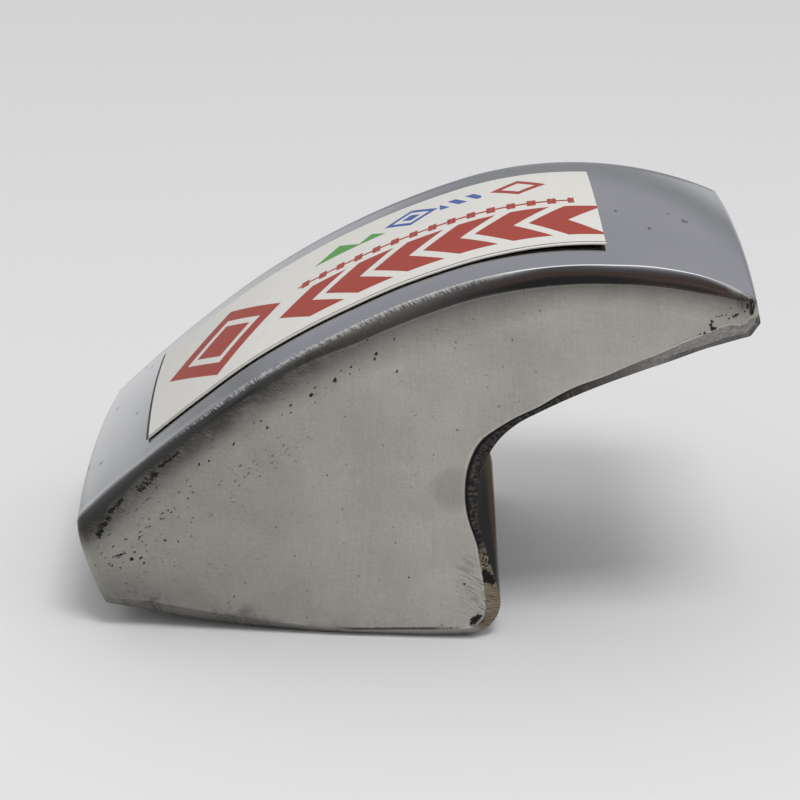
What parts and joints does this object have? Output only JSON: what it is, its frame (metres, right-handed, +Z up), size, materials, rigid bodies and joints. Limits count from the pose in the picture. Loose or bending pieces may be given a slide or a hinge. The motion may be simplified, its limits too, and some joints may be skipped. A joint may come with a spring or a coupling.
{
  "type": "auto body dolly",
  "caption": "Hooked hand dolly for panel beating: a solid steel block with a crowned working face, a low-crowned foot, a throat under its hook and a printed label on the crown.",
  "frame": {"origin": "on the bench, under the middle of the block's length and width", "axes": "+X from the heel end to the tip of the hook, +Y across the width, +Z up from the foot"},
  "size_m": [0.1048, 0.062, 0.0637],
  "materials": {
    "ground_steel": "sides ground with a fine brushed grain and small pits, working face polished, throat left dark as forged",
    "printed_film": null,
    "old_adhesive": "thin brown adhesive layer, dull and a little rough"
  },
  "bodies": {
    "root": {"dolly_block": "ground_steel", "label_face": "printed_film", "label_adhesive": "old_adhesive"}
  },
  "joints": []
}
